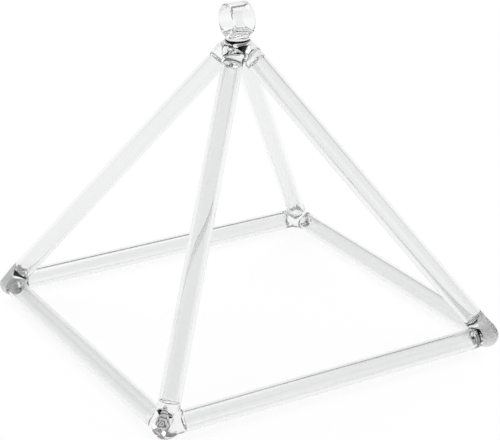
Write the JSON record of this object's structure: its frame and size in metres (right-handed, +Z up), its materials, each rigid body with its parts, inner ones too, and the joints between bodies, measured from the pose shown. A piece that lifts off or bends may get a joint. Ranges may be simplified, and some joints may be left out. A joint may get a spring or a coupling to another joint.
{
  "type": "singing crystal pyramid",
  "caption": "Open square pyramid frame of clear fused quartz tube with solid ground corners, an apex hub and a short hanging ring on top.",
  "frame": {"origin": "on the floor, midway between the feet and straight under the apex", "axes": "+Z up to the ring; +X runs along a base edge and along the hole of the hanging ring"},
  "size_m": [0.255, 0.255, 0.2234],
  "materials": {
    "tube_quartz": "clear, drawn tube, fire-polished",
    "fused_quartz": "clear solid quartz, torch-fused and fire-polished",
    "corner_quartz": "clear solid quartz, ground matt on the outer facet and foot"
  },
  "bodies": {
    "root": {"base_tube_front": "tube_quartz", "base_tube_right": "tube_quartz", "base_tube_back": "tube_quartz", "base_tube_left": "tube_quartz", "edge_tube_front": "tube_quartz", "edge_tube_right": "tube_quartz", "edge_tube_back": "tube_quartz", "edge_tube_left": "tube_quartz", "corner_front": "corner_quartz", "corner_right": "corner_quartz", "corner_back": "corner_quartz", "corner_left": "corner_quartz", "apex_hub": "fused_quartz", "ring_neck": "fused_quartz", "hanging_ring": "fused_quartz"}
  },
  "joints": []
}
